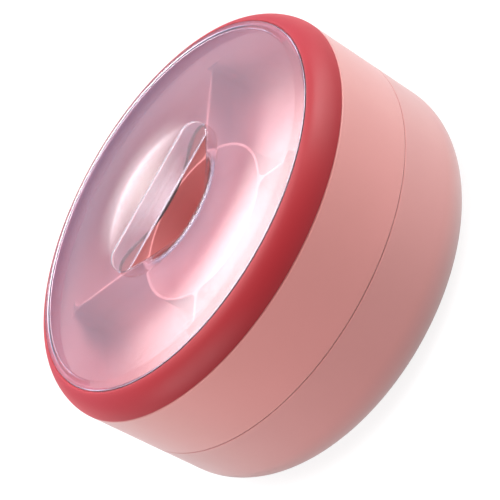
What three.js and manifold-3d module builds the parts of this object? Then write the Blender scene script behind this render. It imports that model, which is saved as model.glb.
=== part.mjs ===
// A round two-tier divided snack box with a clear lid, in millimetres, +Z up.
// The origin is at the middle of the base, on the surface that the box stands on.
import * as THREE from "three";
import { mergeVertices } from "three/addons/utils/BufferGeometryUtils.js";
import Module from "manifold-3d";

const wasm = await Module();
wasm.setup();

// ---- Driving dimensions ----

const SEGMENTS = 60; // facets round each turned piece
const GAP = 0.3; // between pieces that touch
const R_OUT = 120; // outside of both tiers and of the lid ring
const WALL = 2; // side walls of both tiers
const FLOOR = 2; // floors

const PAD_PROUD = 0.8; // how far the soft pads stand out under the base
const PAD_R = 7;
const PAD_POCKET = 1; // depth of the pocket that a pad sits in
const PAD_ORBIT = 78; // distance of the pads from the axis

const BASE_Z = PAD_PROUD;
const BASE_ROUNDING = 26; // radius of the lower tier's bottom edge
const SEAM_Z = BASE_Z + 56.6; // top of the lower tier
const SEAM_GAP = 0.5; // the visible line between the tiers
const TIER_TOP = BASE_Z + 100.5; // top of the upper tier
const EDGE = 0.9; // rounding of the upper tier's top edge

const COLLAR_DEEP = 4; // the upper tier's collar inside the lower one
const COLLAR_THICK = 2.2;

const TRAY_FLOOR = BASE_Z + 62.4; // top of the tray's floor
const TRAY_FLOOR_THICK = 1.8;
const TRAY_RIM = TIER_TOP + 2.8; // top of the tray's outer wall, which the lid ring fits round
const TRAY_R = R_OUT - WALL - GAP;
const TRAY_WALL = 1.6;
const DIVIDER_TOP = BASE_Z + 91.2;
const DIVIDER_HALF = 0.8; // half the dividers' thickness
const CENTRE_R = 46.2; // middle of the round wall of the centre compartment
const CENTRE_FILLET = 12; // rounding between the centre floor and its wall
const OUTER_FILLET = 14; // rounding between the outer floors and their walls

const RING_BOTTOM = TIER_TOP + GAP;
const RING_INNER_R = 109.4; // where the ring's curved top meets the window
const RING_INNER_Z = BASE_Z + 115.6;
const RING_POWER = 1.64; // how full the ring's curved top is: 2 is an ellipse
const RING_SHELL = 2.4;
const RING_LIP_R = 106.4; // inside of the ledge that carries the window
const RING_LEDGE_Z = RING_INNER_Z - 2.8;
const LEDGE_THICK = 1.2;
const RING_LIP_BOTTOM = BASE_Z + 105.6;

const WINDOW_THICK = 2;
const WINDOW_R = RING_INNER_R - GAP;
const WINDOW_EDGE_Z = RING_INNER_Z + 0.25; // a hair proud of the ring
const CREST_Z = BASE_Z + 121; // top of the ring-shaped dome
const CREST_R = 67.8;
const HOLLOW_Z = BASE_Z + 106.2; // bottom of the hollow in the middle
const HOLLOW_R = 18.5; // where the hollow's side would meet its bottom as a sharp corner
const HOLLOW_SLOPE = 0.57; // rise of the hollow's side over its run
const HOLLOW_BLEND = 2.4; // how softly the side runs into the bottom and into the dome

const OPENING_HALF_X = 44.6; // the oval finger opening
const OPENING_HALF_Y = 16.2;

const BAR_HALF_X = 45.6; // the handle bar over the opening
const BAR_THICK = 3;
const BAR_BOTTOM = BASE_Z + 114.9;
const BAR_TOP = BASE_Z + 128.3;
const BAR_TOP_CORNER = 9.2;
const BAR_BOTTOM_CORNER = 4;

// ---- Colours ----

const PINK_UPPER = 0xe9b3ae;
const PINK_LOWER = 0xd9a3a0;
const RED = 0xc8434c;
const CORAL = 0xdc8078;
const CLEAR_LILAC = 0xd9cfe6;
const PAD_GREY = 0xdedad8;

// ---- Helpers ----

// Points along an arc in the r-z half-plane, from angle a to angle b in degrees.
function arc(r, z, radius, a, b, steps) {
  const points = [];
  for (let i = 0; i <= steps; i += 1) {
    const t = THREE.MathUtils.degToRad(a + ((b - a) * i) / steps);
    points.push([r + radius * Math.cos(t), z + radius * Math.sin(t)]);
  }
  return points;
}

// A solid of revolution about Z from an r-z outline, listed anticlockwise.
function turned(outline, segments = SEGMENTS) {
  const closed = [...outline, outline[0]];
  const profile = closed.map(([r, z]) => new THREE.Vector2(r, z));
  const geometry = new THREE.LatheGeometry(profile, segments);
  geometry.rotateX(Math.PI / 2);
  return geometry;
}

// An outline in the X-Y plane made into a prism between two heights.
function prism(outline, bottom, top) {
  const shape = new THREE.Shape(outline.map(([x, y]) => new THREE.Vector2(x, y)));
  const geometry = new THREE.ExtrudeGeometry(shape, { depth: top - bottom, bevelEnabled: false });
  geometry.translate(0, 0, bottom);
  return geometry;
}

function toSolid(geometry) {
  const bare = geometry.clone();
  bare.deleteAttribute("normal");
  bare.deleteAttribute("uv");
  const merged = mergeVertices(bare, 1e-4);
  const vertProperties = new Float32Array(merged.attributes.position.array);
  const triVerts = new Uint32Array(merged.index.array);
  return new wasm.Manifold(new wasm.Mesh({ numProp: 3, vertProperties, triVerts }));
}

function toGeometry(solid) {
  const mesh = solid.getMesh();
  const geometry = new THREE.BufferGeometry();
  geometry.setAttribute("position", new THREE.BufferAttribute(new Float32Array(mesh.vertProperties), 3));
  geometry.setIndex(new THREE.BufferAttribute(new Uint32Array(mesh.triVerts), 1));
  geometry.computeVertexNormals();
  return geometry;
}

function piece(name, geometry, color, roughness, extra = {}) {
  const material = new THREE.MeshStandardMaterial({ color, roughness, metalness: 0, ...extra });
  const mesh = new THREE.Mesh(geometry, material);
  mesh.name = name;
  return mesh;
}

// ---- Lower tier ----

function lowerBowl() {
  const outerArc = arc(R_OUT - BASE_ROUNDING, BASE_Z + BASE_ROUNDING, BASE_ROUNDING, -90, 0, 8);
  const innerR = R_OUT - WALL;
  const innerRounding = BASE_ROUNDING - WALL;
  const innerFloor = BASE_Z + FLOOR + 0.8;
  const innerArc = arc(innerR - innerRounding, innerFloor + innerRounding, innerRounding, 0, -90, 6);
  const outline = [
    [0, BASE_Z],
    ...outerArc,
    [R_OUT, SEAM_Z - 0.4],
    [R_OUT - 0.4, SEAM_Z],
    [innerR, SEAM_Z],
    ...innerArc,
    [0, innerFloor],
  ];
  let bowl = toSolid(turned(outline));
  for (const [x, y] of padPlaces()) {
    const pocket = new THREE.CylinderGeometry(PAD_R + GAP, PAD_R + GAP, 2 * PAD_POCKET, 20);
    pocket.rotateX(Math.PI / 2);
    pocket.translate(x, y, BASE_Z);
    bowl = bowl.subtract(toSolid(pocket));
  }
  return toGeometry(bowl);
}

function padPlaces() {
  return [45, 135, 225, 315].map((degrees) => {
    const t = THREE.MathUtils.degToRad(degrees);
    return [PAD_ORBIT * Math.cos(t), PAD_ORBIT * Math.sin(t)];
  });
}

function basePads() {
  const height = PAD_PROUD + PAD_POCKET - GAP;
  return padPlaces().map(([x, y], i) => {
    const outline = [
      [0, 0],
      [PAD_R - 0.4, 0],
      [PAD_R, 0.4],
      [PAD_R, height],
      [0, height],
    ];
    const pad = piece(`base_pad_${i + 1}`, turned(outline, 20), PAD_GREY, 0.8);
    pad.position.set(x, y, 0);
    return pad;
  });
}

// ---- Upper tier ----

function upperTier() {
  const floorTop = TRAY_FLOOR - TRAY_FLOOR_THICK - GAP;
  const floorBottom = floorTop - FLOOR;
  const innerR = R_OUT - WALL;
  const collarR = R_OUT - WALL - GAP;
  const collarEnd = SEAM_Z - COLLAR_DEEP;
  const bottom = SEAM_Z + SEAM_GAP;
  return turned([
    [0, floorBottom],
    [collarR - COLLAR_THICK, floorBottom],
    [collarR - COLLAR_THICK, collarEnd],
    [collarR, collarEnd],
    [collarR, bottom],
    [R_OUT - 0.4, bottom],
    [R_OUT, bottom + 0.4],
    ...arc(R_OUT - EDGE, TIER_TOP - EDGE, EDGE, 0, 90, 3),
    [innerR, TIER_TOP],
    [innerR, floorTop],
    [0, floorTop],
  ]);
}

// ---- Divided tray ----

// A half-space beside one divider, whose lower edge is rounded into the floor.
function besideDivider(degrees, side) {
  const outline = [
    [DIVIDER_HALF, TIER_TOP],
    ...arc(DIVIDER_HALF + OUTER_FILLET, TRAY_FLOOR + OUTER_FILLET, OUTER_FILLET, 180, 270, 4),
    [2 * R_OUT, TRAY_FLOOR],
    [2 * R_OUT, TIER_TOP],
  ];
  const geometry = prism(outline, 0, 2 * R_OUT);
  geometry.rotateX(Math.PI / 2); // the outline stands up, and the prism runs along -Y
  geometry.translate(0, R_OUT, 0);
  if (side < 0) geometry.rotateZ(Math.PI);
  geometry.rotateZ(THREE.MathUtils.degToRad(degrees - 90));
  return toSolid(geometry);
}

// The ring-shaped trough that the four outer compartments are cut from.
function outerTrough() {
  const inner = CENTRE_R + DIVIDER_HALF;
  const outer = TRAY_R - TRAY_WALL;
  const middle = TRAY_FLOOR + OUTER_FILLET;
  return toSolid(
    turned([
      ...arc(inner + OUTER_FILLET, middle, OUTER_FILLET, 180, 270, 4),
      ...arc(outer - OUTER_FILLET, middle, OUTER_FILLET, 270, 360, 4),
      [outer, TIER_TOP],
      [inner, TIER_TOP],
    ]),
  );
}

function dividedTray() {
  const bottom = TRAY_FLOOR - TRAY_FLOOR_THICK;
  const innerWall = TRAY_R - TRAY_WALL;
  const body = toSolid(
    turned([
      [0, bottom],
      ...arc(TRAY_R - 8, bottom + 8, 8, 270, 360, 3),
      [TRAY_R, TRAY_RIM],
      [innerWall, TRAY_RIM],
      [innerWall, DIVIDER_TOP],
      [0, DIVIDER_TOP],
    ]),
  );
  const centreWall = CENTRE_R - DIVIDER_HALF;
  const centre = toSolid(
    turned([
      [0, TRAY_FLOOR],
      ...arc(centreWall - CENTRE_FILLET, TRAY_FLOOR + CENTRE_FILLET, CENTRE_FILLET, 270, 360, 4),
      [centreWall, TIER_TOP],
      [0, TIER_TOP],
    ]),
  );
  let tray = body.subtract(centre);
  const trough = outerTrough();
  for (const start of [-45, 45, 135, 225]) {
    const right = besideDivider(start, -1);
    const left = besideDivider(start + 90, 1);
    tray = tray.subtract(trough.intersect(right).intersect(left));
  }
  return toGeometry(tray);
}

// ---- Lid ring ----

// A point on the ring's curved top, from the outer edge (0) to the window (1).
function ringTop(t, inset = 0) {
  const angle = (t * Math.PI) / 2;
  const across = R_OUT - inset - RING_INNER_R;
  const high = RING_INNER_Z - inset - RING_BOTTOM;
  return [
    RING_INNER_R + across * Math.cos(angle) ** (2 / RING_POWER),
    RING_BOTTOM + high * Math.sin(angle) ** (2 / RING_POWER),
  ];
}

function lidRing() {
  const steps = 8;
  const curve = [];
  for (let i = 0; i <= steps; i += 1) curve.push(ringTop(i / steps));
  const skirtInner = TRAY_R + GAP; // the tray's rim stands just inside the ring's skirt
  const channelInner = RING_LIP_R + RING_SHELL;
  return turned([
    [skirtInner, RING_BOTTOM],
    ...curve,
    [RING_INNER_R, RING_LEDGE_Z],
    [RING_LIP_R, RING_LEDGE_Z],
    [RING_LIP_R, RING_LIP_BOTTOM],
    [channelInner, RING_LIP_BOTTOM],
    [channelInner, RING_LEDGE_Z - LEDGE_THICK],
    ringTop(0.7, RING_SHELL),
    ringTop(0.42, RING_SHELL),
    [skirtInner, TRAY_RIM + 0.8],
  ]);
}

// ---- Clear lid window ----

// The lesser of two heights, with the corner between them rounded.
function softMin(a, b, blend) {
  const near = Math.max(blend - Math.abs(a - b), 0) / blend;
  return Math.min(a, b) - (near * near * blend) / 4;
}

// Height of the window's top surface at distance r from the axis.
function windowTop(r) {
  const out = (r - CREST_R) / (WINDOW_R - CREST_R);
  const dome = CREST_Z - (CREST_Z - WINDOW_EDGE_Z) * out * out;
  const side = HOLLOW_Z + HOLLOW_SLOPE * (r - HOLLOW_R);
  const hollow = -softMin(-side, -HOLLOW_Z, HOLLOW_BLEND);
  return softMin(hollow, dome, HOLLOW_BLEND);
}

// Distances from the axis at which the window's outline has a point.
const WINDOW_STEPS = [0, 14, 18, 22, 26, 31, 35, 38, 41, 45, 51, 59, 68, 77, 86, 95, 103];

function windowShell() {
  const bottom = RING_LEDGE_Z + GAP;
  const flangeInner = RING_LIP_R - GAP;
  const top = WINDOW_STEPS.map((r) => [r, windowTop(r)]);
  const under = WINDOW_STEPS.slice(0, -1).map((r) => {
    const slope = windowTop(r + 0.5) - windowTop(Math.abs(r - 0.5)); // over a step of 1 mm
    return [r, windowTop(r) - WINDOW_THICK * Math.hypot(1, slope)];
  });
  const edge = [
    [flangeInner, bottom],
    [WINDOW_R, bottom],
    [WINDOW_R, WINDOW_EDGE_Z],
  ];
  return turned([...under, ...edge, ...top.reverse()]);
}

// The finger opening's outline, seen from above.
function ovalOutline(points) {
  const outline = [];
  for (let i = 0; i < points; i += 1) {
    const t = (2 * Math.PI * i) / points;
    outline.push([OPENING_HALF_X * Math.cos(t), OPENING_HALF_Y * Math.sin(t)]);
  }
  return outline;
}

function lidWindow() {
  const low = HOLLOW_Z - 10;
  const opening = toSolid(prism(ovalOutline(40), low, CREST_Z));
  const slotX = BAR_HALF_X + GAP;
  const slotY = BAR_THICK / 2 + GAP;
  const slot = new THREE.BoxGeometry(2 * slotX, 2 * slotY, CREST_Z - low);
  slot.translate(0, 0, (CREST_Z + low) / 2);
  return toGeometry(toSolid(windowShell()).subtract(opening).subtract(toSolid(slot)));
}

// ---- Handle bar ----

function lidHandle() {
  const shape = new THREE.Shape();
  const bevel = 0.5;
  const x = BAR_HALF_X - bevel;
  const low = BAR_BOTTOM + bevel;
  const high = BAR_TOP - bevel;
  const bottomCorner = BAR_BOTTOM_CORNER - bevel;
  const topCorner = BAR_TOP_CORNER - bevel;
  shape.absarc(x - topCorner, high - topCorner, topCorner, 0, Math.PI / 2, false);
  shape.absarc(topCorner - x, high - topCorner, topCorner, Math.PI / 2, Math.PI, false);
  shape.absarc(bottomCorner - x, low + bottomCorner, bottomCorner, Math.PI, 1.5 * Math.PI, false);
  shape.absarc(x - bottomCorner, low + bottomCorner, bottomCorner, 1.5 * Math.PI, 2 * Math.PI, false);
  const geometry = new THREE.ExtrudeGeometry(shape, {
    depth: BAR_THICK - 2 * bevel,
    bevelEnabled: true,
    bevelThickness: bevel,
    bevelSize: bevel,
    bevelSegments: 2,
    curveSegments: 6,
  });
  geometry.translate(0, 0, bevel - BAR_THICK / 2);
  geometry.rotateX(Math.PI / 2);
  return geometry;
}

// ---- Assembly ----

const box = new THREE.Group();
const clear = { transparent: true, opacity: 0.4 };
box.add(piece("lower_bowl", lowerBowl(), PINK_LOWER, 0.45));
box.add(...basePads());
box.add(piece("upper_tier", upperTier(), PINK_UPPER, 0.45));
box.add(piece("divided_tray", dividedTray(), CORAL, 0.4));
box.add(piece("lid_ring", lidRing(), RED, 0.4));
box.add(piece("lid_window", lidWindow(), CLEAR_LILAC, 0.08, clear));
box.add(piece("lid_handle", lidHandle(), CLEAR_LILAC, 0.08, clear));

export default box;
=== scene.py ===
"""Looks for a round two-tier divided snack box with a clear lid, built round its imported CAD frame.

Lengths in the mesh code are millimetres, and mesh_object turns them into metres.
Outlines of turned pieces are (distance from the axis, height).
"""

import math

import bmesh
import bpy
from mathutils import Matrix, Vector
from mathutils.geometry import tessellate_polygon


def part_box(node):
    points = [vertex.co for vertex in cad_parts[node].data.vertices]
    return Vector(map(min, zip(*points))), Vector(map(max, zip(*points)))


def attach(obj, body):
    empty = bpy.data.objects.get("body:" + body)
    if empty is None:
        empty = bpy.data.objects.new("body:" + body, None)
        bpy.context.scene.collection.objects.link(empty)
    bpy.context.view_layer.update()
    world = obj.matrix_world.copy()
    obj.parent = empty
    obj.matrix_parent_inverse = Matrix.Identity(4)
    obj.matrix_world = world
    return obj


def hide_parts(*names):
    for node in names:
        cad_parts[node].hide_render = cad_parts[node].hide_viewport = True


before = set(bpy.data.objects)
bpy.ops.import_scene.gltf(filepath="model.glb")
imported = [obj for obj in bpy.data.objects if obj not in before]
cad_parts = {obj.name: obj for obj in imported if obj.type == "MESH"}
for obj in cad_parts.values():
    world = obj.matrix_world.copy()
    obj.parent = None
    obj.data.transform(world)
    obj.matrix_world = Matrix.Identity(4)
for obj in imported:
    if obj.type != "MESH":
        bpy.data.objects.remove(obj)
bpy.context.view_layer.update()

MM = 0.001
TURN = 240  # facets round each turned piece
PAD_TURN = 64
POCKET_TURN = 48
WELD = 0.002  # points nearer than this become one point
SHARP = 50  # degrees between two faces from which their edge is shaded sharp
CLEAR_SHARP = 60  # the same for the clear pieces


def box_mm(node):
    """A node's lowest and highest corners at rest, in millimetres."""
    low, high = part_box(node)
    return low / MM, high / MM


# ---- Sizes in millimetres, from the frame where it has them ----

bowl_low, bowl_high = box_mm("lower_bowl")
tier_low, tier_high = box_mm("upper_tier")
tray_low, tray_high = box_mm("divided_tray")
ring_low, ring_high = box_mm("lid_ring")
window_high = box_mm("lid_window")[1]
bar_low, bar_high = box_mm("lid_handle")
pad_low, pad_high = box_mm("base_pad_1")

R_OUT = bowl_high.x
WALL = 2.0
GAP = 0.3
CRISP = 0.4  # the rounding of edges that look sharp
CRISP_INSIDE = 0.3

BASE_Z = bowl_low.z
BASE_ROUNDING = 26.0
BOWL_FLOOR = BASE_Z + 2.8
SEAM_Z = bowl_high.z
SEAM_GAP = 0.5
INNER_R = R_OUT - WALL  # inside of both tiers

PAD_R = (pad_high.x - pad_low.x) / 2
PAD_TOP = pad_high.z
PAD_ROUNDING = 0.5
PAD_TOP_ROUNDING = 0.2
PAD_ORBIT = 78.0
PAD_ANGLES = (45, 135, 225, 315)
POCKET_REACH = 1.0  # how far a pad's pocket goes into the base, and its cutter below it

TIER_TOP = tier_high.z
TIER_FLOOR_TOP = tray_low.z - GAP
TIER_FLOOR_BOTTOM = TIER_FLOOR_TOP - 2.0
TIER_EDGE = 0.9
TIER_INSIDE_EDGE = 0.8
COLLAR_END = tier_low.z
COLLAR_R = INNER_R - GAP
COLLAR_THICK = 2.2
COLLAR_EDGE = 0.5

TRAY_R = tray_high.x
TRAY_RIM = tray_high.z
TRAY_BOTTOM = tray_low.z
TRAY_FLOOR = TRAY_BOTTOM + 1.8
TRAY_WALL = 1.6
TRAY_INNER_R = TRAY_R - TRAY_WALL
TRAY_RIM_ROUNDING = 0.6
TRAY_EDGE_ROUNDING = 8.0
DIVIDER_TOP = BASE_Z + 91.2
DIVIDER_HALF = 0.8
CENTRE_R = 46.2
CENTRE_FILLET = 12.0
OUTER_FILLET = 14.0
CORNER_R = 6.0  # upright corners of the outer compartments
LAND_ROUNDING = 0.55  # on the top edges of the dividers
DIVIDER_ANGLE = math.radians(45)  # from +X, and the same from the other half axes
FLOOR_SUPPORT = 0.6  # from a bend to the loop of points that keeps the flat next to it flat
WALL_SUPPORT = 0.5

AXIS = (0, 0)
INNER_STEPS = 20  # stretches that each kind of curve in the tray is made of
CORNER_STEPS = 8
OUTER_STEPS = 24
FILLET_STEPS = 12
LAND_STEPS = 5
DIVIDER_END_STEPS = 6
CENTRE_STEPS = 160

RING_BOTTOM = ring_low.z
RING_TOP = ring_high.z
RING_INNER_R = 109.4
RING_POWER = 1.64  # how full the curved top is: 2 is an ellipse
RING_STEPS = 48  # stretches in its curved top
RING_SHELL = 2.4
RING_LIP_R = 106.4
RING_LEDGE_Z = RING_TOP - 2.8
RING_LIP_BOTTOM = RING_TOP - 10.0
RING_LIP_ROUNDING = 0.5
RING_INNER_ROUNDING = 0.7
LEDGE_THICK = 1.2
RIM_CLEARANCE = 0.8  # between the tray's rim and the ring's underside

WINDOW_R = window_high.x
WINDOW_EDGE_Z = RING_TOP + 0.25  # the window stands a hair proud of the ring
WINDOW_THICK = 2.0
CREST_Z = BASE_Z + 121.0
CREST_R = 67.8
HOLLOW_Z = BASE_Z + 106.2  # bottom of the hollow
HOLLOW_R = 18.5  # where the hollow's side would meet its bottom as a sharp corner
HOLLOW_SLOPE = 0.57
HOLLOW_BLEND = 2.4  # how softly the side runs into the bottom and into the dome
OPENING_X = 44.6  # half the length of the oval finger opening
OPENING_Y = 16.2
LIP_ROUNDING = 0.3  # on the opening's edge
LIP_STEPS = 5
RIM_ROUNDING = 0.4
FLANGE_REACH = 1.5  # how far inside the flange the underside stops
WINDOW_TURN = 288  # points round the window
WINDOW_RINGS = 72  # rings of faces from the opening to the rim
SLOPE_STEP = 0.05  # half the distance over which the slope is measured

BAR_TOP_CORNER = 9.2
BAR_BOTTOM_CORNER = 4.0
BAR_ROUNDING = 0.7
BAR_SUPPORT = 0.3  # from the rounding to the loop of points that keeps the face flat
BAR_TOP_STEPS = 22
BAR_BOTTOM_STEPS = 14
BAR_EDGE_STEPS = 6

GATE_R = 1.6  # the mark that the moulding gate leaves on the bar's face
GATE_X = -1.2
GATE_RISE = 0.6  # above the middle of the bar's face
GATE_LEVELS = ((0, 0), (0.12, 0.04), (0.3, 0.25), (0.6, 0.27))  # how far in, and how deep
GATE_STEPS = 40


# ---- Mesh helpers ----

def mesh_object(name, points, faces, sharp=SHARP):
    """An object from points in millimetres, closed where its seams meet, smooth but for sharp edges."""
    mesh = bpy.data.meshes.new(name)
    mesh.from_pydata([Vector(p) * MM for p in points], [], faces)
    work = bmesh.new()
    work.from_mesh(mesh)
    bmesh.ops.remove_doubles(work, verts=work.verts, dist=WELD * MM)
    bmesh.ops.recalc_face_normals(work, faces=work.faces)
    work.to_mesh(mesh)
    work.free()
    mesh.shade_smooth()
    mesh.set_sharp_from_angle(angle=math.radians(sharp))
    piece = bpy.data.objects.new(name, mesh)
    bpy.context.scene.collection.objects.link(piece)
    return piece


def rounded(corners):
    """An outline from (r, z, radius) corners, each radius made into an arc."""
    outline = []
    count = len(corners)
    for i, (r, z, radius) in enumerate(corners):
        here = Vector((r, z))
        if not radius:
            outline.append(here)
            continue
        back = (Vector(corners[i - 1][:2]) - here).normalized()
        on = (Vector(corners[(i + 1) % count][:2]) - here).normalized()
        half = back.angle(on) / 2
        middle = here + (back + on).normalized() * (radius / math.sin(half))
        start = here + back * (radius / math.tan(half)) - middle
        end = here + on * (radius / math.tan(half)) - middle
        turn = start.angle_signed(end)
        steps = 5 + int(radius)
        for k in range(steps + 1):
            spoke = Matrix.Rotation(-turn * k / steps, 2) @ start
            outline.append(middle + spoke)
    return outline


def supported(outline, closed, reach=0.35, shortest=3.0):
    """The outline with extra points near the ends of its long straight stretches, so flats shade flat."""
    result = []
    count = len(outline)
    for i, here in enumerate(outline):
        result.append(here)
        if i == count - 1 and not closed:
            break
        after = outline[(i + 1) % count]
        run = after - here
        if run.length > shortest:
            result.append(here + run.normalized() * reach)
            result.append(after - run.normalized() * reach)
    return result


def turned(name, outline, segments=TURN):
    """A solid of revolution about Z. An outline that starts and ends on the axis stays open there."""
    closed = outline[0][0] > 0
    outline = supported([Vector(p[:2]) for p in outline], closed)
    points = []
    rows = []
    for r, z in outline:
        if r < 1e-6:
            rows.append([len(points)] * segments)
            points.append((0, 0, z))
            continue
        rows.append(range(len(points), len(points) + segments))
        for k in range(segments):
            angle = 2 * math.pi * k / segments
            points.append((r * math.cos(angle), r * math.sin(angle), z))
    if closed:
        rows.append(rows[0])
    return mesh_object(name, points, joined(rows))


def joined(rows):
    """Faces between neighbouring closed rows of point numbers, triangles where a row is a single point."""
    faces = []
    for low, high in zip(rows, rows[1:]):
        count = len(low)
        for k in range(count):
            after = (k + 1) % count
            corners = []
            for corner in (low[k], low[after], high[after], high[k]):
                if corner not in corners:
                    corners.append(corner)
            if len(corners) > 2:
                faces.append(corners)
    return faces


def cut(piece, cutters):
    """Takes the cutters out of a piece, and removes them."""
    for cutter in cutters:
        step = piece.modifiers.new("cut", "BOOLEAN")
        step.operation = "DIFFERENCE"
        step.solver = "EXACT"
        step.object = cutter
        shaped = piece.evaluated_get(bpy.context.evaluated_depsgraph_get())
        mesh = bpy.data.meshes.new_from_object(shaped)
        piece.modifiers.clear()
        piece.data = mesh
        bpy.data.objects.remove(cutter)
    piece.data.set_sharp_from_angle(angle=math.radians(SHARP))


def placed(piece, x, y):
    """Moves a piece's mesh sideways, so that its object stays at the origin."""
    piece.data.transform(Matrix.Translation((x * MM, y * MM, 0)))
    return piece


# ---- Tiers and pads ----

def pad_places():
    """The middles of the four pads, in X and Y."""
    for degrees in PAD_ANGLES:
        angle = math.radians(degrees)
        yield PAD_ORBIT * math.cos(angle), PAD_ORBIT * math.sin(angle)


def make_pocket():
    """A cutter for the shallow pocket that a pad sits in."""
    radius = PAD_R + GAP
    bottom = BASE_Z - POCKET_REACH
    top = BASE_Z + POCKET_REACH
    return turned("pocket", [(0, bottom), (radius, bottom), (radius, top), (0, top)], POCKET_TURN)


def make_lower_bowl():
    bowl = turned("lower_bowl_shell", rounded([
        (0, BASE_Z, 0),
        (R_OUT, BASE_Z, BASE_ROUNDING),
        (R_OUT, SEAM_Z, CRISP),
        (INNER_R, SEAM_Z, CRISP_INSIDE),
        (INNER_R, BOWL_FLOOR, BASE_ROUNDING - WALL),
        (0, BOWL_FLOOR, 0),
    ]))
    cut(bowl, [placed(make_pocket(), x, y) for x, y in pad_places()])
    return bowl


def make_pads():
    outline = rounded([
        (0, 0, 0),
        (PAD_R, 0, PAD_ROUNDING),
        (PAD_R, PAD_TOP, PAD_TOP_ROUNDING),
        (0, PAD_TOP, 0),
    ])
    pads = []
    for number, (x, y) in enumerate(pad_places(), 1):
        pads.append(placed(turned(f"soft_pad_{number}", outline, PAD_TURN), x, y))
    return pads


def make_upper_tier():
    collar_inner = COLLAR_R - COLLAR_THICK
    bottom = SEAM_Z + SEAM_GAP
    return turned("upper_tier_shell", rounded([
        (0, TIER_FLOOR_BOTTOM, 0),
        (collar_inner, TIER_FLOOR_BOTTOM, TIER_INSIDE_EDGE),
        (collar_inner, COLLAR_END, COLLAR_EDGE),
        (COLLAR_R, COLLAR_END, COLLAR_EDGE),
        (COLLAR_R, bottom, 0),
        (R_OUT, bottom, CRISP),
        (R_OUT, TIER_TOP, TIER_EDGE),
        (INNER_R, TIER_TOP, CRISP),
        (INNER_R, TIER_FLOOR_TOP, TIER_INSIDE_EDGE),
        (0, TIER_FLOOR_TOP, 0),
    ]))


# ---- Divided tray ----

def arc_points(centre, radius, start, end, steps):
    """Points in the X-Y plane along an arc, from angle start to angle end in radians."""
    x, y = centre
    points = []
    for k in range(steps + 1):
        angle = start + (end - start) * k / steps
        points.append(Vector((x + radius * math.cos(angle), y + radius * math.sin(angle))))
    return points


def half_compartment(inset, outer_inset):
    """Half the outline of the outer compartment round +X, on the side of +Y.

    The first run goes from the middle of the inner arc, round the corners and along the side.
    The second is the outer arc, from its corner to its middle.
    """
    side = DIVIDER_HALF + inset  # distance of the side from the divider's middle plane
    inner = CENTRE_R + DIVIDER_HALF + inset
    outer = TRAY_INNER_R - outer_inset

    def corner_centre(distance):
        """Where a point at a distance from the axis is a corner radius from the side: (distance, angle)."""
        return distance, DIVIDER_ANGLE - math.asin((side + CORNER_R) / distance)

    near_d, near_a = corner_centre(inner + CORNER_R)
    far_d, far_a = corner_centre(outer - CORNER_R)
    near = (near_d * math.cos(near_a), near_d * math.sin(near_a))
    far = (far_d * math.cos(far_a), far_d * math.sin(far_a))
    sideways = DIVIDER_ANGLE + math.pi / 2
    run = arc_points(AXIS, inner, 0, near_a, INNER_STEPS)
    run += arc_points(near, CORNER_R, near_a + math.pi, sideways, CORNER_STEPS)[1:]
    run += arc_points(far, CORNER_R, sideways, far_a, CORNER_STEPS)
    return run, arc_points(AXIS, outer, far_a, 0, OUTER_STEPS)[1:]


def whole_compartment(inset, outer_inset, quarter):
    """An outer compartment's full outline, turned to one of the four quarters: (open run, outer arc)."""
    half, outer = half_compartment(inset, outer_inset)
    mirrored = [Vector((p.x, -p.y)) for p in half]
    mirrored_outer = [Vector((p.x, -p.y)) for p in outer]
    run = mirrored[:0:-1] + half  # from the outer arc's lower end, round the inside, to its upper end
    arc = outer + mirrored_outer[-2::-1]  # from the upper end back down
    spin = Matrix.Rotation(quarter * math.pi / 2, 2)
    return [spin @ p for p in run], [spin @ p for p in arc]


def wall_levels(fillet):
    """(inset, height) pairs from a compartment's floor, up its fillet and wall, to the rounded top."""
    levels = [(fillet + FLOOR_SUPPORT, TRAY_FLOOR)]
    for k in range(FILLET_STEPS + 1):
        angle = math.pi / 2 * k / FILLET_STEPS
        levels.append((fillet * (1 - math.sin(angle)), TRAY_FLOOR + fillet * (1 - math.cos(angle))))
    start = DIVIDER_TOP - LAND_ROUNDING
    levels.append((0, TRAY_FLOOR + fillet + WALL_SUPPORT))
    levels.append((0, start - WALL_SUPPORT))
    for k in range(LAND_STEPS + 1):
        angle = math.pi / 2 * k / LAND_STEPS
        levels.append((-LAND_ROUNDING * (1 - math.cos(angle)), start + LAND_ROUNDING * math.sin(angle)))
    return levels


def lofted(points, faces, loops):
    """Adds loops of 3-D points, joined in order, and returns the rows of point numbers."""
    rows = []
    for loop in loops:
        rows.append(range(len(points), len(points) + len(loop)))
        points.extend(loop)
    faces.extend(joined(rows))
    return rows


def filled(points, faces, *loops):
    """Fills a flat shape: an outer loop of point numbers, then its holes."""
    flat = [[Vector(points[i]) for i in loop] for loop in loops]
    numbers = [i for loop in loops for i in loop]
    faces.extend([numbers[i] for i in triangle] for triangle in tessellate_polygon(flat))


def at_height(loop, z):
    """The 3-D points of a level loop."""
    return [(p.x, p.y, z) for p in loop]


def moved_out(point, radius, z):
    """A point at another radius and height, in the same direction from the axis."""
    scale = radius / math.hypot(point[0], point[1])
    return (point[0] * scale, point[1] * scale, z)


def add_outer_compartments(points, faces):
    """Adds the four outer compartments.

    For each, returns the point numbers of its top edge: the run round the inside, and the outer arc.
    """
    land = []
    rim = []
    for quarter in range(4):
        loops = []
        for inset, z in wall_levels(OUTER_FILLET):
            run, arc = whole_compartment(inset, max(inset, 0), quarter)
            loops.append(at_height(run + arc, z))
        rows = lofted(points, faces, loops)
        filled(points, faces, rows[0])
        inner_count = len(run)
        top = list(rows[-1])
        land.append(top[:inner_count])
        rim.append([top[inner_count - 1]] + top[inner_count:] + [top[0]])
    return land, rim


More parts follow.
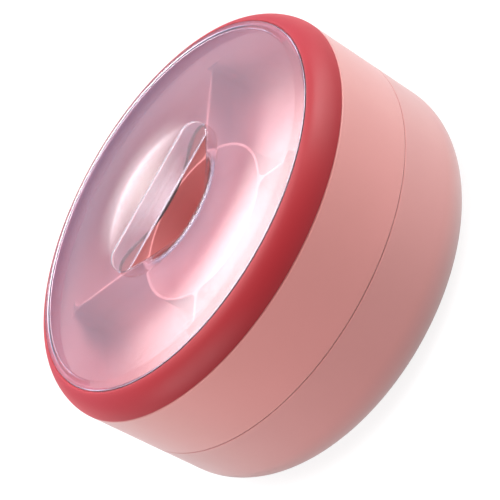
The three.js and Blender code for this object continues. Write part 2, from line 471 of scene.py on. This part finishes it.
def close_round(points, land, rim):
    """Joins the four top edges by short arcs at the outer wall.

    Returns the outline of the dividers' top, and the closed line along the outer wall.
    """
    boundary = []
    around = []
    for quarter in range(4):
        start = points[land[quarter][-1]]
        end = points[land[(quarter + 1) % 4][0]]
        a = math.atan2(start[1], start[0])
        b = math.atan2(end[1], end[0])
        if b < a:
            b += 2 * math.pi
        between = arc_points(AXIS, TRAY_INNER_R, a, b, DIVIDER_END_STEPS)[1:-1]
        numbers = list(range(len(points), len(points) + len(between)))
        points.extend(at_height(between, DIVIDER_TOP))
        boundary += land[quarter] + numbers
        around += rim[quarter][::-1] + numbers
    return boundary, around


def add_centre_compartment(points, faces):
    """Adds the round compartment, and returns the point numbers of its top edge."""
    wall = CENTRE_R - DIVIDER_HALF
    circles = []
    for inset, z in wall_levels(CENTRE_FILLET):
        circle = arc_points(AXIS, wall - inset, 0, 2 * math.pi, CENTRE_STEPS)[:-1]
        circles.append(at_height(circle, z))
    rows = lofted(points, faces, circles)
    filled(points, faces, rows[0])
    return list(rows[-1])


def add_outer_wall(points, faces, around):
    """Adds the outer wall, from the top of the dividers over the rim and down to the underside."""
    profile = rounded([
        (TRAY_INNER_R, DIVIDER_TOP, 0),
        (TRAY_INNER_R, TRAY_RIM, TRAY_RIM_ROUNDING),
        (TRAY_R, TRAY_RIM, TRAY_RIM_ROUNDING),
        (TRAY_R, TRAY_BOTTOM, TRAY_EDGE_ROUNDING),
        (TRAY_R - 2 * TRAY_EDGE_ROUNDING, TRAY_BOTTOM, 0),
    ])
    loops = []
    for r, z in supported(profile, False):
        loops.append([moved_out(points[number], r, z) for number in around])
    rows = lofted(points, faces, loops)
    filled(points, faces, rows[-1])


def make_tray():
    points = []
    faces = []
    land, rim = add_outer_compartments(points, faces)
    boundary, around = close_round(points, land, rim)
    centre = add_centre_compartment(points, faces)
    filled(points, faces, boundary, centre[::-1])
    add_outer_wall(points, faces, around)
    return mesh_object("tray_shell", points, faces)


# ---- Lid ring ----

def ring_curve(t, inset=0.0):
    """A point on the ring's curved top, from the outer edge (0) to the window (1)."""
    angle = t * math.pi / 2
    across = R_OUT - inset - RING_INNER_R
    high = RING_TOP - inset - RING_BOTTOM
    return (
        RING_INNER_R + across * math.cos(angle) ** (2 / RING_POWER),
        RING_BOTTOM + high * math.sin(angle) ** (2 / RING_POWER),
        0,
    )


def make_ring():
    # The curve stops short of the rounded edges at both of its ends.
    curve = [ring_curve(k / RING_STEPS) for k in range(3, RING_STEPS - 4)]
    under = [ring_curve(0.7 - 0.05 * k, RING_SHELL) for k in range(10)]
    skirt = TRAY_R + GAP
    channel = RING_LIP_R + RING_SHELL
    return turned("lid_ring_rim", rounded([
        (skirt, RING_BOTTOM, 0.3),
        (R_OUT, RING_BOTTOM, 0.25),
        *curve,
        (RING_INNER_R, RING_TOP, RING_INNER_ROUNDING),
        (RING_INNER_R, RING_LEDGE_Z, 0.2),
        (RING_LIP_R, RING_LEDGE_Z, 0.3),
        (RING_LIP_R, RING_LIP_BOTTOM, RING_LIP_ROUNDING),
        (channel, RING_LIP_BOTTOM, RING_LIP_ROUNDING),
        (channel, RING_LEDGE_Z - LEDGE_THICK, 0.6),
        *under,
        (skirt, TRAY_RIM + RIM_CLEARANCE, 0),
    ]))


# ---- Clear window and handle bar ----

def soft_min(a, b):
    """The smaller of two heights, with a soft passage from one to the other."""
    near = max(HOLLOW_BLEND - abs(a - b), 0) / HOLLOW_BLEND
    return min(a, b) - near * near * HOLLOW_BLEND / 4


def window_height(r):
    """Height of the window's top surface at a distance from the axis."""
    out = (r - CREST_R) / (WINDOW_R - CREST_R)
    dome = CREST_Z - (CREST_Z - WINDOW_EDGE_Z) * out * out
    side = HOLLOW_Z + HOLLOW_SLOPE * (r - HOLLOW_R)
    hollow = -soft_min(-side, -HOLLOW_Z)
    return soft_min(hollow, dome)


def window_normal(x, y):
    """The direction square to the window's top surface at a place."""
    r = math.hypot(x, y)
    rise = window_height(r + SLOPE_STEP) - window_height(max(r - SLOPE_STEP, 0))
    slope = rise / (2 * SLOPE_STEP)
    return Vector((-slope * x / r, -slope * y / r, 1)).normalized()


def opening_lip(top, under, normal, away):
    """The opening's edge: a flat with a rounding to each surface, from the underside up."""
    middle = (top + under) / 2
    level = Vector((away.x, away.y, 0))
    level = (level - normal * level.dot(normal)).normalized()
    flat = WINDOW_THICK / 2 - LIP_ROUNDING
    lip = []
    for side in (-1, 1):
        for i in range(LIP_STEPS + 1):
            turn = math.pi / 2 * i / LIP_STEPS
            along, out = math.sin(turn), math.cos(turn)
            if side < 0:
                along, out = out, along
            reach = flat + LIP_ROUNDING * along
            lip.append(middle + normal * side * reach - level * (LIP_ROUNDING * out))
    return lip


def window_column(spoke):
    """The window's outline above one spoke, from the underside round the opening's edge to the rim."""
    flange_r = RING_LIP_R - GAP
    flange_z = RING_LEDGE_Z + GAP
    edge = Vector((OPENING_X * spoke.x, OPENING_Y * spoke.y))
    away = Vector((spoke.x / OPENING_X, spoke.y / OPENING_Y)).normalized()
    first = edge + away * LIP_ROUNDING
    last = spoke * (WINDOW_R - RIM_ROUNDING)
    top = []
    under = []
    for i in range(WINDOW_RINGS + 1):
        place = first.lerp(last, i / WINDOW_RINGS)
        surface = Vector((place.x, place.y, window_height(place.length)))
        top.append(surface)
        below = surface - window_normal(place.x, place.y) * WINDOW_THICK
        if below.xy.length < flange_r - FLANGE_REACH:
            under.append(below)
    lip = opening_lip(top[0], under[0], window_normal(first.x, first.y), away)
    # The rim's edges are eased by a few tenths, and its flange rests on the ring's ledge.
    rim = [
        (WINDOW_R - 0.1, WINDOW_EDGE_Z - 0.08),
        (WINDOW_R, WINDOW_EDGE_Z - 0.35),
        (WINDOW_R, flange_z + 0.2),
        (WINDOW_R - 0.2, flange_z),
        (flange_r, flange_z),
    ]
    return under[::-1] + lip + top + [Vector((r * spoke.x, r * spoke.y, z)) for r, z in rim]


def make_window():
    columns = []
    for k in range(WINDOW_TURN):
        angle = 2 * math.pi * k / WINDOW_TURN
        columns.append(window_column(Vector((math.cos(angle), math.sin(angle)))))
    # Columns differ in how many underside points they keep, so all are cut to the shortest one's count.
    most = min(len(column) for column in columns)
    columns = [column[len(column) - most:] for column in columns]
    points = []
    rows = []
    for row in range(most):
        rows.append(range(len(points), len(points) + WINDOW_TURN))
        points.extend(column[row] for column in columns)
    rows.append(rows[0])
    return mesh_object("clear_window", points, joined(rows), CLEAR_SHARP)


def bar_outline(inset):
    """The bar's face outline in X and Z, drawn in by inset."""
    x = bar_high.x - inset
    low = bar_low.z + inset
    high = bar_high.z - inset
    top = BAR_TOP_CORNER - inset
    bottom = BAR_BOTTOM_CORNER - inset
    quarter = math.pi / 2
    outline = arc_points((x - bottom, low + bottom), bottom, -quarter, 0, BAR_BOTTOM_STEPS)
    outline += arc_points((x - top, high - top), top, 0, quarter, BAR_TOP_STEPS)
    outline += arc_points((top - x, high - top), top, quarter, 2 * quarter, BAR_TOP_STEPS)
    outline += arc_points((bottom - x, low + bottom), bottom, 2 * quarter, 3 * quarter, BAR_BOTTOM_STEPS)
    return outline


def bar_levels(half):
    """(inset, y) pairs from the bar's front face, over its rounded edges, to its back face."""
    levels = [(BAR_ROUNDING + BAR_SUPPORT, -half)]
    for k in range(BAR_EDGE_STEPS + 1):
        angle = math.pi / 2 * k / BAR_EDGE_STEPS
        inset = BAR_ROUNDING * (1 - math.sin(angle))
        levels.append((inset, BAR_ROUNDING * (1 - math.cos(angle)) - half))
    return levels + [(inset, -y) for inset, y in reversed(levels)]


def make_handle():
    half = (bar_high.y - bar_low.y) / 2
    points = []
    faces = []
    loops = [[(p.x, y, p.y) for p in bar_outline(inset)] for inset, y in bar_levels(half)]
    rows = lofted(points, faces, loops)
    filled(points, faces, rows[-1])
    # A shallow round gate mark is sunk into the front face.
    gate = (GATE_X, (bar_low.z + bar_high.z) / 2 + GATE_RISE)
    loops = []
    for inset, deep in GATE_LEVELS:
        circle = arc_points(gate, GATE_R - inset, 0, 2 * math.pi, GATE_STEPS)[:-1]
        loops.append([(p.x, deep - half, p.y) for p in circle])
    mark_rows = lofted(points, faces, loops)
    filled(points, faces, mark_rows[-1])
    filled(points, faces, rows[0], list(mark_rows[0])[::-1])
    return mesh_object("clear_handle", points, faces, CLEAR_SHARP)


# ---- Materials ----
# Noise scales are features per metre, and bump distances are metres.

WHITE = (1, 1, 1, 1)
PLASTIC_IOR = 1.48
HAZE_ROUGHNESS = 0.6
CLEAR_IOR = 1.49
LET_THROUGH = (0.97, 0.95, 0.98, 1)  # what the clear plastic leaves of the light that lights the tray


def add(tree, kind, inputs=None, **settings):
    """A node of a kind. Inputs are values, or sockets of other nodes to link from."""
    node = tree.nodes.new(kind)
    for key, value in settings.items():
        setattr(node, key, value)
    for key, value in (inputs or {}).items():
        if isinstance(value, bpy.types.NodeSocket):
            tree.links.new(value, node.inputs[key])
        else:
            node.inputs[key].default_value = value
    return node


def new_material(name):
    """An empty node material and its tree."""
    material = bpy.data.materials.new(name)
    material.use_nodes = True
    tree = material.node_tree
    tree.nodes.clear()
    return material, tree


def noise(tree, scale, detail=2.0, roughness=0.5):
    """Noise over the piece's own coordinates."""
    place = add(tree, "ShaderNodeTexCoord").outputs["Object"]
    inputs = {"Vector": place, "Scale": scale, "Detail": detail, "Roughness": roughness}
    return add(tree, "ShaderNodeTexNoise", inputs).outputs["Fac"]


def ranged(tree, value, low, high, to_low, to_high, smooth=False):
    """A value carried from the range low to high over to the range to_low to to_high."""
    inputs = {"Value": value, "From Min": low, "From Max": high, "To Min": to_low, "To Max": to_high}
    kind = "SMOOTHSTEP" if smooth else "LINEAR"
    return add(tree, "ShaderNodeMapRange", inputs, interpolation_type=kind).outputs[0]


def calc(tree, operation, a, b=0.0):
    return add(tree, "ShaderNodeMath", {0: a, 1: b}, operation=operation).outputs[0]


def bumped(tree, height, strength, distance):
    """A normal that follows a height."""
    inputs = {"Strength": strength, "Distance": distance, "Height": height}
    return add(tree, "ShaderNodeBump", inputs).outputs[0]


def blend(tree, factor, a, b):
    """A colour between a and b."""
    node = add(tree, "ShaderNodeMix", data_type="RGBA")
    for index, value in ((0, factor), (6, a), (7, b)):
        if isinstance(value, bpy.types.NodeSocket):
            tree.links.new(value, node.inputs[index])
        else:
            node.inputs[index].default_value = value
    return node.outputs[2]


def rubbed_edges(tree):
    """Near 1 on convex edges where hands and neighbours rub, broken up by noise."""
    bend = add(tree, "ShaderNodeNewGeometry").outputs["Pointiness"]
    edge = ranged(tree, bend, 0.51, 0.56, 0, 1, smooth=True)
    patches = ranged(tree, noise(tree, 160, 4, 0.6), 0.42, 0.62, 0, 1, smooth=True)
    return calc(tree, "MULTIPLY", edge, patches)


def finish_material(tree, shader):
    add(tree, "ShaderNodeOutputMaterial", {"Surface": shader})


def wear(piece, material):
    piece.data.materials.clear()
    piece.data.materials.append(material)


def plastic(name, colour, deeper, worn, rough, gloss, haze, haze_tint=WHITE):
    """Moulded plastic: cloudy colour, uneven polish, a fine eroded grain and faintly rubbed edges."""
    material, tree = new_material(name)
    clouds = ranged(tree, noise(tree, 22, 3), 0.3, 0.7, 0, 1)
    specks = ranged(tree, noise(tree, 1500, 2), 0.35, 0.65, 0, 1)
    base = blend(tree, clouds, colour, deeper)
    base = blend(tree, calc(tree, "MULTIPLY", specks, 0.12), base, deeper)
    rub = rubbed_edges(tree)
    base = blend(tree, calc(tree, "MULTIPLY", rub, 0.35), base, worn)
    polish = ranged(tree, noise(tree, 60, 5, 0.6), 0.3, 0.7, rough - 0.04, rough + 0.05)
    polish = calc(tree, "SUBTRACT", polish, calc(tree, "MULTIPLY", rub, 0.08))
    grain = calc(tree, "ADD", noise(tree, 2600, 2), calc(tree, "MULTIPLY", noise(tree, 90, 2), 0.6))
    shader = add(tree, "ShaderNodeBsdfPrincipled", {
        "Base Color": base,
        "Roughness": polish,
        "Normal": bumped(tree, grain, 0.25, 0.00003),
        "IOR": PLASTIC_IOR,
        "Specular IOR Level": gloss,
        "Sheen Weight": haze,
        "Sheen Roughness": HAZE_ROUGHNESS,
        "Sheen Tint": haze_tint,
    })
    finish_material(tree, shader.outputs[0])
    return material


def clear_plastic(name, tint, deeper, passes):
    """Polished clear plastic, tinted and faintly smudged, of which a share called passes is clear.

    Light for what is behind it passes straight through, so that the tray under the lid is lit.
    """
    material, tree = new_material(name)
    smudges = ranged(tree, noise(tree, 45, 4, 0.6), 0.42, 0.72, 0, 1, smooth=True)
    waves = calc(tree, "ADD", noise(tree, 40, 1), calc(tree, "MULTIPLY", noise(tree, 900, 2), 0.05))
    clouds = ranged(tree, noise(tree, 18, 2), 0.3, 0.7, 0, 1)
    shader = add(tree, "ShaderNodeBsdfPrincipled", {
        "Base Color": blend(tree, clouds, tint, deeper),
        "Roughness": ranged(tree, smudges, 0, 1, 0.02, 0.07),
        "Normal": bumped(tree, waves, 0.12, 0.0002),
        "IOR": CLEAR_IOR,
        "Transmission Weight": passes,
    })
    straight = add(tree, "ShaderNodeBsdfTransparent", {"Color": LET_THROUGH})
    rays = add(tree, "ShaderNodeLightPath").outputs
    passing = calc(tree, "MAXIMUM", rays["Is Shadow Ray"], rays["Is Diffuse Ray"])
    mixed = add(tree, "ShaderNodeMixShader", {0: passing, 1: shader.outputs[0], 2: straight.outputs[0]})
    finish_material(tree, mixed.outputs[0])
    return material


def silicone(name, colour, deeper):
    """Soft matt silicone with a dusty skin."""
    material, tree = new_material(name)
    dust = ranged(tree, noise(tree, 400, 5, 0.7), 0.35, 0.7, 0, 1)
    shader = add(tree, "ShaderNodeBsdfPrincipled", {
        "Base Color": blend(tree, dust, colour, deeper),
        "Roughness": ranged(tree, dust, 0, 1, 0.62, 0.82),
        "Normal": bumped(tree, noise(tree, 1800, 3), 0.4, 0.0001),
    })
    finish_material(tree, shader.outputs[0])
    return material


# ---- Studio: floor, soft light and camera ----

FLOOR_HALF = 4000  # millimetres
FLOOR_TONES = ((0.21, 0.21, 0.21, 1), (0.23, 0.23, 0.23, 1))
FLOOR_GLOW = 0.20  # the floor glows softly, which keeps shadows pale
FLOOR_EXTRA = 0.64  # more glow that only the camera sees, for a white floor

# Round soft lights: azimuth from +X and elevation in degrees, inner and outer half-angle, colour, radiance.
SIDE_LIGHTS = (
    (0, 34, 4, 20, (1.0, 0.98, 1.0), 8.0),
    (-4, 14, 10, 36, (1.0, 0.99, 0.98), 4.0),
    (205, 12, 10, 36, (1.0, 0.98, 1.0), 3.9),
)

# These two light everything that isn't a mirror image in a glossy face.
TOP_LIGHT = (90, 84, 10, 42, (1.0, 0.985, 1.0), 5.2)
DIM = (0.12, 0.12, 0.12)  # the room where there is no light

# What glossy faces mirror instead: the room behind the box, low down and higher up, and in front.
BACK_LOW = (0.36, 0.33, 0.52, 1)
BACK_HIGH = (1.08, 0.98, 1.28, 1)
BACK_RISE = (0.12, 0.40)  # the upward share of a direction between which one turns into the other
FRONT = (0.40, 0.20, 0.22, 1)
FRONT_TO_BACK = (-0.2, 0.5)  # the +Y share of a direction

# Glossy faces also mirror a strip light, which climbs from behind the box to just past the zenith, and
# widens as it climbs. Its climb is an angle up from the +Y horizon, and its width a sideways share.
STRIP_RADIANCE = 7.5
STRIP_START = (30, 52)  # degrees where it begins and where it is full
STRIP_END = (86, 108)
STRIP_NARROW = (40, 0.40)  # the climb up to which it is narrow, and how far sideways it reaches there
STRIP_WIDE = (90, 0.98)


def make_floor():
    half = FLOOR_HALF
    points = [(-half, -half, 0), (half, -half, 0), (half, half, 0), (-half, half, 0)]
    floor = mesh_object("floor", points, [(0, 1, 2, 3)])
    material, tree = new_material("pale_floor")
    tone = blend(tree, noise(tree, 3, 2), *FLOOR_TONES)
    shader = add(tree, "ShaderNodeBsdfDiffuse", {"Color": tone})
    seen = add(tree, "ShaderNodeLightPath").outputs["Is Camera Ray"]
    strength = ranged(tree, seen, 0, 1, FLOOR_GLOW, FLOOR_GLOW + FLOOR_EXTRA)
    glow = add(tree, "ShaderNodeEmission", {"Color": WHITE, "Strength": strength})
    lit = add(tree, "ShaderNodeAddShader", {0: shader.outputs[0], 1: glow.outputs[0]})
    finish_material(tree, lit.outputs[0])
    wear(floor, material)


def strip_light(tree, parts):
    """How much of the strip light a direction sees, as a radiance."""
    climb = calc(tree, "ARCTAN2", parts.outputs["Z"], parts.outputs["Y"])
    begin, full = (math.radians(degrees) for degrees in STRIP_START)
    fading, end = (math.radians(degrees) for degrees in STRIP_END)
    near = ranged(tree, climb, begin, full, 0, 1, smooth=True)
    far = ranged(tree, climb, fading, end, 1, 0, smooth=True)
    low, narrow = STRIP_NARROW
    high, wide = STRIP_WIDE
    reach = ranged(tree, climb, math.radians(low), math.radians(high), narrow, wide)
    sideways = calc(tree, "DIVIDE", calc(tree, "ABSOLUTE", parts.outputs["X"]), reach)
    across = ranged(tree, sideways, 0, 1, STRIP_RADIANCE, 0, smooth=True)
    return calc(tree, "MULTIPLY", calc(tree, "MULTIPLY", near, far), across)


def round_light(tree, direction, azimuth, elevation, inner, outer, colour, radiance):
    """What a direction sees of a round light that fades from its inner to its outer half-angle."""
    a = math.radians(azimuth)
    e = math.radians(elevation)
    towards = (math.cos(a) * math.cos(e), math.sin(a) * math.cos(e), math.sin(e))
    facing = add(tree, "ShaderNodeVectorMath", {0: direction, 1: towards}, operation="DOT_PRODUCT")
    edge = math.cos(math.radians(outer))
    full = math.cos(math.radians(inner))
    share = ranged(tree, facing.outputs["Value"], edge, full, 0, radiance, smooth=True)
    return add(tree, "ShaderNodeVectorMath", {0: colour, 3: share}, operation="SCALE").outputs[0]


def added(tree, total, light):
    return add(tree, "ShaderNodeVectorMath", {0: total, 1: light}, operation="ADD").outputs[0]


def mirrored_room(tree, parts):
    """What glossy faces mirror besides the side lights."""
    behind = ranged(tree, parts.outputs["Y"], *FRONT_TO_BACK, 0, 1, smooth=True)
    up = ranged(tree, parts.outputs["Z"], *BACK_RISE, 0, 1, smooth=True)
    walls = blend(tree, behind, FRONT, blend(tree, up, BACK_LOW, BACK_HIGH))
    return added(tree, walls, strip_light(tree, parts))


def make_sky():
    """The soft light of the studio. The camera itself sees plain white."""
    world = bpy.data.worlds.new("studio")
    bpy.context.scene.world = world
    world.use_nodes = True
    tree = world.node_tree
    tree.nodes.clear()
    direction = add(tree, "ShaderNodeTexCoord").outputs["Generated"]
    parts = add(tree, "ShaderNodeSeparateXYZ", {0: direction})
    rays = add(tree, "ShaderNodeLightPath").outputs
    soft = added(tree, DIM, round_light(tree, direction, *TOP_LIGHT))
    total = blend(tree, rays["Is Glossy Ray"], soft, mirrored_room(tree, parts))
    for light in SIDE_LIGHTS:
        total = added(tree, total, round_light(tree, direction, *light))
    sky = add(tree, "ShaderNodeBackground", {"Color": total, "Strength": 1.0})
    plain = add(tree, "ShaderNodeBackground", {"Color": WHITE, "Strength": 1.0})
    seen = rays["Is Camera Ray"]
    mixed = add(tree, "ShaderNodeMixShader", {0: seen, 1: sky.outputs[0], 2: plain.outputs[0]})
    add(tree, "ShaderNodeOutputWorld", {"Surface": mixed.outputs[0]})


PITCH = math.radians(29.84)  # the camera looks this far down, along +Y
ROLL = math.radians(60.47)
CAMERA_DISTANCE = 7.396  # in outer radii, from the lid's rim
CAMERA_RIGHT = -0.277  # where the middle of the rim stands in the frame, in outer radii
CAMERA_UP = 0.1645
LENS = 119.2  # millimetres, for a sensor 36 mm wide
SENSOR = 36
CLIP_START = 0.01


def make_camera():
    level_right = Vector((1, 0, 0))
    level_up = Vector((0, math.sin(PITCH), math.cos(PITCH)))
    back = Vector((0, -math.cos(PITCH), math.sin(PITCH)))
    right = level_right * math.cos(ROLL) - level_up * math.sin(ROLL)
    up = level_right * math.sin(ROLL) + level_up * math.cos(ROLL)
    rim = Vector((0, 0, RING_BOTTOM * MM))
    reach = R_OUT * MM
    camera = bpy.data.objects.new("camera", bpy.data.cameras.new("camera"))
    bpy.context.scene.collection.objects.link(camera)
    camera.data.lens = LENS
    camera.data.sensor_width = SENSOR
    camera.data.clip_start = CLIP_START
    camera.matrix_world = Matrix((right, up, back)).transposed().to_4x4()
    camera.location = rim + reach * (CAMERA_DISTANCE * back - CAMERA_RIGHT * right - CAMERA_UP * up)
    bpy.context.scene.camera = camera


# ---- Assembly ----

def add_piece(piece, node, body, material):
    wear(piece, material)
    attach(piece, body)
    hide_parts(node)


make_camera()
make_floor()
make_sky()
bpy.context.scene.view_settings.view_transform = "Standard"

pink_upper = plastic(
    "pink_upper",
    colour=(0.60, 0.19, 0.172, 1),
    deeper=(0.57, 0.18, 0.16, 1),
    worn=(0.85, 0.42, 0.38, 1),
    rough=0.42,
    gloss=0.5,
    haze=0.65,
)
pink_lower = plastic(
    "pink_lower",
    colour=(0.53, 0.178, 0.163, 1),
    deeper=(0.51, 0.17, 0.155, 1),
    worn=(0.75, 0.38, 0.34, 1),
    rough=0.44,
    gloss=0.5,
    haze=0.65,
)
red = plastic(
    "red",
    colour=(0.25, 0.012, 0.016, 1),
    deeper=(0.23, 0.011, 0.014, 1),
    worn=(0.6, 0.13, 0.12, 1),
    rough=0.38,
    gloss=0.22,
    haze=0.6,
    haze_tint=(1, 0.2, 0.24, 1),
)
coral = plastic(
    "coral",
    colour=(0.57, 0.215, 0.205, 1),
    deeper=(0.54, 0.205, 0.195, 1),
    worn=(0.9, 0.55, 0.5, 1),
    rough=0.55,
    gloss=0.05,
    haze=0.05,
)
clear = clear_plastic("clear_lilac", (0.97, 0.95, 0.98, 1), (0.92, 0.88, 0.95, 1), 0.985)
clear_bar = clear_plastic("clear_bar", (0.96, 0.95, 1.0, 1), (0.93, 0.91, 1.0, 1), 0.78)
pad_grey = silicone("pad_grey", (0.72, 0.70, 0.69, 1), (0.62, 0.60, 0.59, 1))

add_piece(make_lower_bowl(), "lower_bowl", "base", pink_lower)
for number, pad in enumerate(make_pads(), 1):
    add_piece(pad, f"base_pad_{number}", "base", pad_grey)
add_piece(make_upper_tier(), "upper_tier", "tier", pink_upper)
add_piece(make_tray(), "divided_tray", "tray", coral)
add_piece(make_ring(), "lid_ring", "lid", red)
add_piece(make_window(), "lid_window", "lid", clear)
add_piece(make_handle(), "lid_handle", "lid", clear_bar)
